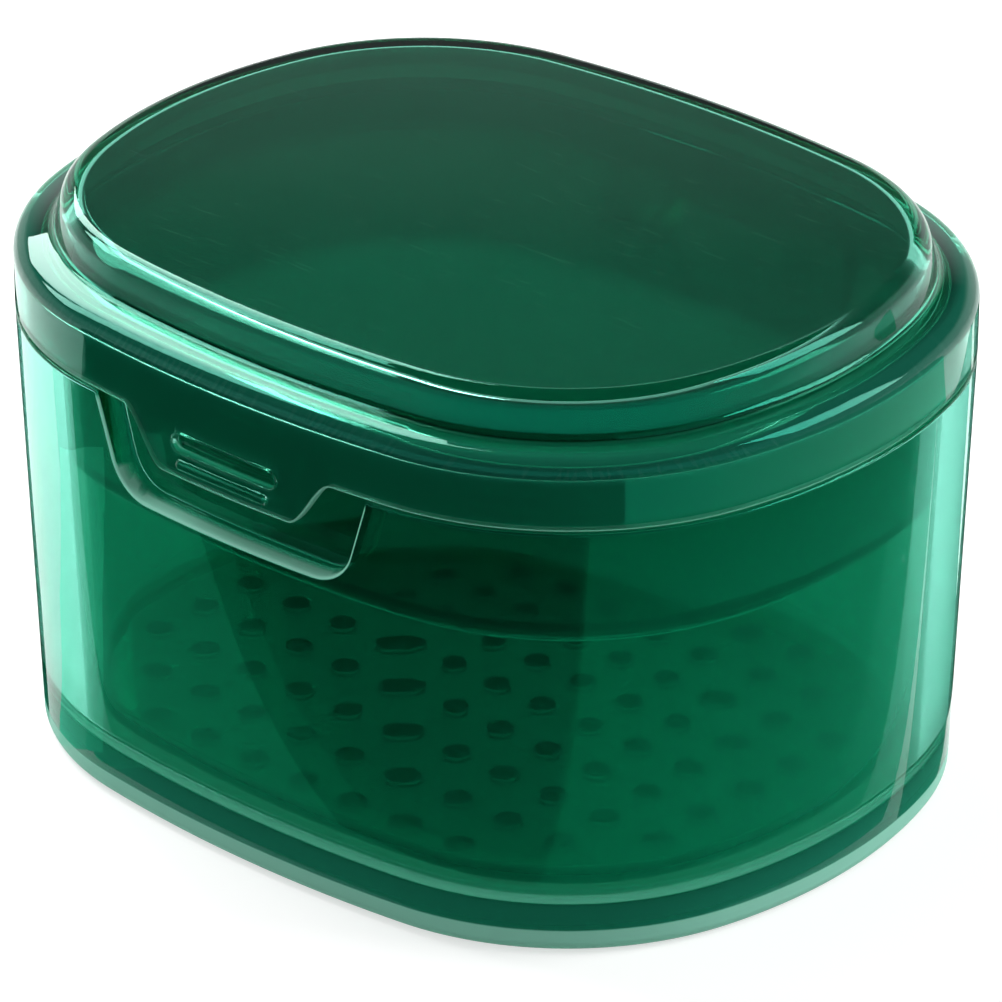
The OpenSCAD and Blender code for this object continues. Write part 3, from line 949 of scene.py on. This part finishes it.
def opaque_finish(name, roughness, pale, deep, shader_values):
    """A finish that isn't clear, for the seal and the pin."""
    material, nodes, links = new_material(name)
    shader = nodes["Principled BSDF"]
    set_inputs(shader, shader_values)
    group = surface_node(nodes, {"Roughness": roughness, "Pale": (*pale, 1), "Deep": (*deep, 1)})
    links.new(group.outputs["Color"], shader.inputs["Base Color"])
    links.new(group.outputs["Roughness"], shader.inputs["Roughness"])
    return material


# ---- studio ----

def seen_directly(nodes, links):
    """1 for camera, mirror and clear plastic rays, which see the backdrop as plain white."""
    path = nodes.new("ShaderNodeLightPath")
    total = path.outputs["Is Camera Ray"]
    for name in ("Is Glossy Ray", "Is Transmission Ray"):
        total = calc(nodes, links, "MAXIMUM", total, path.outputs[name])
    return total


FLOOR_SIZE = 3.0   # from its middle to each side, in metres
FLOOR_LOW = -0.2   # just under the case
FLOOR_SHADE = 0.5  # how much light it gives back
FLOOR_GLOW = 0.62  # what it adds where it is seen, for a pale floor


def make_floor():
    bm = bmesh.new()
    bmesh.ops.create_grid(bm, x_segments=1, y_segments=1, size=FLOOR_SIZE)
    bmesh.ops.translate(bm, vec=(0, 0, FLOOR_LOW * MM), verts=bm.verts)
    obj = as_object(bm, "studio_floor")
    material, nodes, links = new_material("studio_floor")
    nodes.remove(nodes["Principled BSDF"])
    matte = nodes.new("ShaderNodeBsdfDiffuse")
    matte.inputs["Color"].default_value = (FLOOR_SHADE, FLOOR_SHADE, FLOOR_SHADE, 1)
    glow = nodes.new("ShaderNodeEmission")
    links.new(seen_directly(nodes, links), glow.inputs["Strength"])
    glow.inputs["Color"].default_value = (FLOOR_GLOW, FLOOR_GLOW, FLOOR_GLOW, 1)
    both = nodes.new("ShaderNodeAddShader")
    links.new(matte.outputs[0], both.inputs[0])
    links.new(glow.outputs[0], both.inputs[1])
    links.new(both.outputs[0], nodes["Material Output"].inputs["Surface"])
    obj.data.materials.append(material)


CEILING_LOW = math.radians(17)     # the backdrop is white up to here
CEILING_HIGH = math.radians(25.5)  # and the ceiling is dark from here
CEILING_SHADE = 0.02               # its strength in mirrors
CEILING_THROUGH = 0.4              # its strength through clear plastic
WORLD_LIGHT = 0.5                  # the strength at which the surroundings light the case


def make_world():
    """White all round, under a dark ceiling."""
    world = bpy.data.worlds.new("studio")
    world.use_nodes = True
    nodes, links = world.node_tree.nodes, world.node_tree.links
    direct = seen_directly(nodes, links)
    place = nodes.new("ShaderNodeTexCoord")
    height = nodes.new("ShaderNodeSeparateXYZ")
    links.new(place.outputs["Generated"], height.inputs[0])
    ceiling = nodes.new("ShaderNodeMapRange")
    set_inputs(ceiling, {
        "From Min": math.sin(CEILING_LOW), "From Max": math.sin(CEILING_HIGH), "To Min": 1.0})
    links.new(height.outputs["Z"], ceiling.inputs["Value"])
    path = nodes.new("ShaderNodeLightPath")
    shade = nodes.new("ShaderNodeMapRange")
    set_inputs(shade, {"To Min": CEILING_SHADE, "To Max": CEILING_THROUGH})
    links.new(path.outputs["Is Transmission Ray"], shade.inputs["Value"])
    links.new(shade.outputs["Result"], ceiling.inputs["To Max"])
    strength = nodes.new("ShaderNodeMix")
    strength.inputs["A"].default_value = WORLD_LIGHT
    links.new(direct, strength.inputs["Factor"])
    links.new(ceiling.outputs["Result"], strength.inputs["B"])
    links.new(strength.outputs["Result"], nodes["Background"].inputs["Strength"])
    nodes["Background"].inputs["Color"].default_value = (1, 1, 1, 1)
    bpy.context.scene.world = world


def softbox(name, at, size, power):
    """A soft window of light that faces the case."""
    light = bpy.data.lights.new(name, "AREA")
    light.shape = "RECTANGLE"
    light.size, light.size_y = size
    light.energy = power
    obj = bpy.data.objects.new(name, light)
    bpy.context.scene.collection.objects.link(obj)
    obj.location = at
    toward = Vector((0, 0, 0.03)) - Vector(at)
    obj.rotation_euler = toward.to_track_quat("-Z", "Y").to_euler()


BLACK = (0, 0, 0)
LOW_CARD, CARD, HIGH_CARD = 0.2, 0.4, 0.5  # heights of the cards, where one lies over another


def floor_card(name, corners, colour, z, through):
    """A card on the floor that only reflections see, and rays through clear plastic if it says so."""
    bm = bmesh.new()
    bm.faces.new([bm.verts.new((x * MM, y * MM, z * MM)) for x, y in corners])
    bmesh.ops.triangulate(bm, faces=bm.faces)
    card = as_object(bm, name)
    material, nodes, links = new_material(name)
    nodes.remove(nodes["Principled BSDF"])
    glow = nodes.new("ShaderNodeEmission")
    glow.inputs["Color"].default_value = (*colour, 1)
    links.new(glow.outputs[0], nodes["Material Output"].inputs["Surface"])
    card.data.materials.append(material)
    card.visible_camera = False
    card.visible_diffuse = False
    card.visible_transmission = through
    card.visible_shadow = False


RING_NEAR, RING_FAR = 127, 420


def ring_card(name, first, last, colour, through):
    """A card that curves around the object, for the upright skirt of the lid to reflect."""
    steps = 40
    first, last = math.radians(first), math.radians(last)
    turns = [first + (last - first) * k / steps for k in range(steps + 1)]
    corners = [(RING_NEAR * math.sin(a), -RING_NEAR * math.cos(a)) for a in turns]
    corners += [(RING_FAR * math.sin(a), -RING_FAR * math.cos(a)) for a in reversed(turns)]
    floor_card(name, corners, colour, CARD, through)


CARD_GAP = 1.8  # from the outline to the green card, so that the rounded base reflects the pale floor


def body_card(name, colour):
    """A green card close round the front and the right, which the wall of the case reflects."""
    steps, far_steps = 12, 40
    left_end, back_end = -28, 13
    near = []
    for centre, r, first, last in ARCS[3:7]:
        for k in range(steps + 1):
            at = centre + (r + CARD_GAP) * ray(first + (last - first) * k / steps)
            if at.x > left_end and at.y < back_end:
                near.append(tuple(at))
    far_r, far_first, far_turn = 127.5, 148, 214
    turns = [math.radians(far_first - far_turn * k / far_steps) for k in range(far_steps + 1)]
    far = [(far_r * math.sin(a), -far_r * math.cos(a)) for a in turns]
    floor_card(name, near + far, colour, LOW_CARD, through=True)


def make_camera():
    """A long lens from the front and the right, from above."""
    data = bpy.data.cameras.new("camera")
    camera = bpy.data.objects.new("camera", data)
    bpy.context.scene.collection.objects.link(camera)
    focal_px, frame_px = 7000, 1002
    data.sensor_width = 36
    data.lens = data.sensor_width * focal_px / frame_px
    azimuth, elevation, distance = math.radians(41.5), math.radians(27.46), 731.6 * MM
    target = Vector((1.07, 0, 27.1)) * MM
    back = Vector((
        math.sin(azimuth) * math.cos(elevation),
        -math.cos(azimuth) * math.cos(elevation),
        math.sin(elevation),
    ))
    camera.location = target + back * distance
    camera.rotation_euler = (-back).to_track_quat("-Z", "Y").to_euler()
    data.clip_start, data.clip_end = 0.01, 20
    bpy.context.scene.camera = camera


# ---- the whole ----

make_camera()
make_world()
make_floor()
softbox("window_front", (-0.54, -0.08, 0.56), (0.27, 0.43), 3.6)
softbox("window_back", (-0.53, 0.24, 0.54), (0.28, 0.43), 3.6)
softbox("fill", (0.6, 0.5, 0.5), (0.5, 0.4), 6)

body_card("body_card", (0.05, 0.46, 0.29))
floor_card(
    "front_card", [(6.2, -50.5), (-48, -81), (-98, -109), (0, -135), (110, -89), (40.3, -42.1), (26, -49)],
    BLACK, CARD, through=True)
ring_card("ring_card", -50.7, 60, BLACK, through=True)
ring_card("right_ring_card", 60, 150, (0.2, 0.9, 0.6), through=False)
floor_card(
    "left_edge_card", [(-31, -34), (-61, -20.5), (-92, -3), (-126, 10), (-126, 60), (-60, 40), (-40, -12)],
    BLACK, LOW_CARD, through=False)
GLOW_SEAM = [(-85.5, -71.5), (-58, -52.5), (-35, -41), (-29, -38.5)]
floor_card(
    "left_glow_card", [(-31, -34.5), (-36.8, -34.1), (-62.5, -37.2), (-94.7, -50.4)] + GLOW_SEAM,
    (0.27, 1.3, 0.92), HIGH_CARD, through=False)
floor_card(
    "left_glow_edge_card", GLOW_SEAM[::-1] + [(-81.5, -77), (-54.5, -58), (-33.2, -44.8), (-27, -41)],
    (0.12, 1.1, 0.7), HIGH_CARD, through=False)
floor_card(
    "right_band_card", [(49, 13), (67.6, 108), (17, 135), (30.5, 59.4), (39.5, 34.3)],
    (0.05, 0.2, 0.15), LOW_CARD, through=False)
floor_card(
    "right_edge_card", [(39.5, 34.3), (30.5, 59.4), (17, 92.5), (10, 135), (-40, 135), (-30, 60), (25, 44)],
    BLACK, LOW_CARD, through=False)

# name, tint of its outer faces, dark tint of painted shade on its inner faces, colour in depth and how
# dense that is
case_clear = clear_plastic("case_clear", (0.36, 0.88, 0.74), (0.12, 0.38, 0.27), (0.12, 0.72, 0.58), 36)
lid_clear = clear_plastic("lid_clear", (0.6, 0.93, 0.85), (0.001, 0.03, 0.019), (0.05, 0.75, 0.58), 200)
basket_clear = clear_plastic(
    "basket_clear", (0.5, 0.87, 0.78), (0.004, 0.04, 0.028), (0.05, 0.76, 0.7), 640)
soft_silicone = opaque_finish("soft_silicone", 0.4, (0.01, 0.17, 0.11), (0.007, 0.13, 0.085), {"IOR": 1.41})
drawn_steel = opaque_finish("drawn_steel", 0.25, (0.72, 0.72, 0.7), (0.6, 0.6, 0.6), {"Metallic": 1})

make_case_body(case_clear)
make_lid(lid_clear)
make_seal(soft_silicone)
make_basket(basket_clear)
make_pin(drawn_steel)

scene = bpy.context.scene
scene.view_settings.view_transform = "Standard"
scene.cycles.max_bounces = 32
scene.cycles.transmission_bounces = 32
scene.cycles.transparent_max_bounces = 16
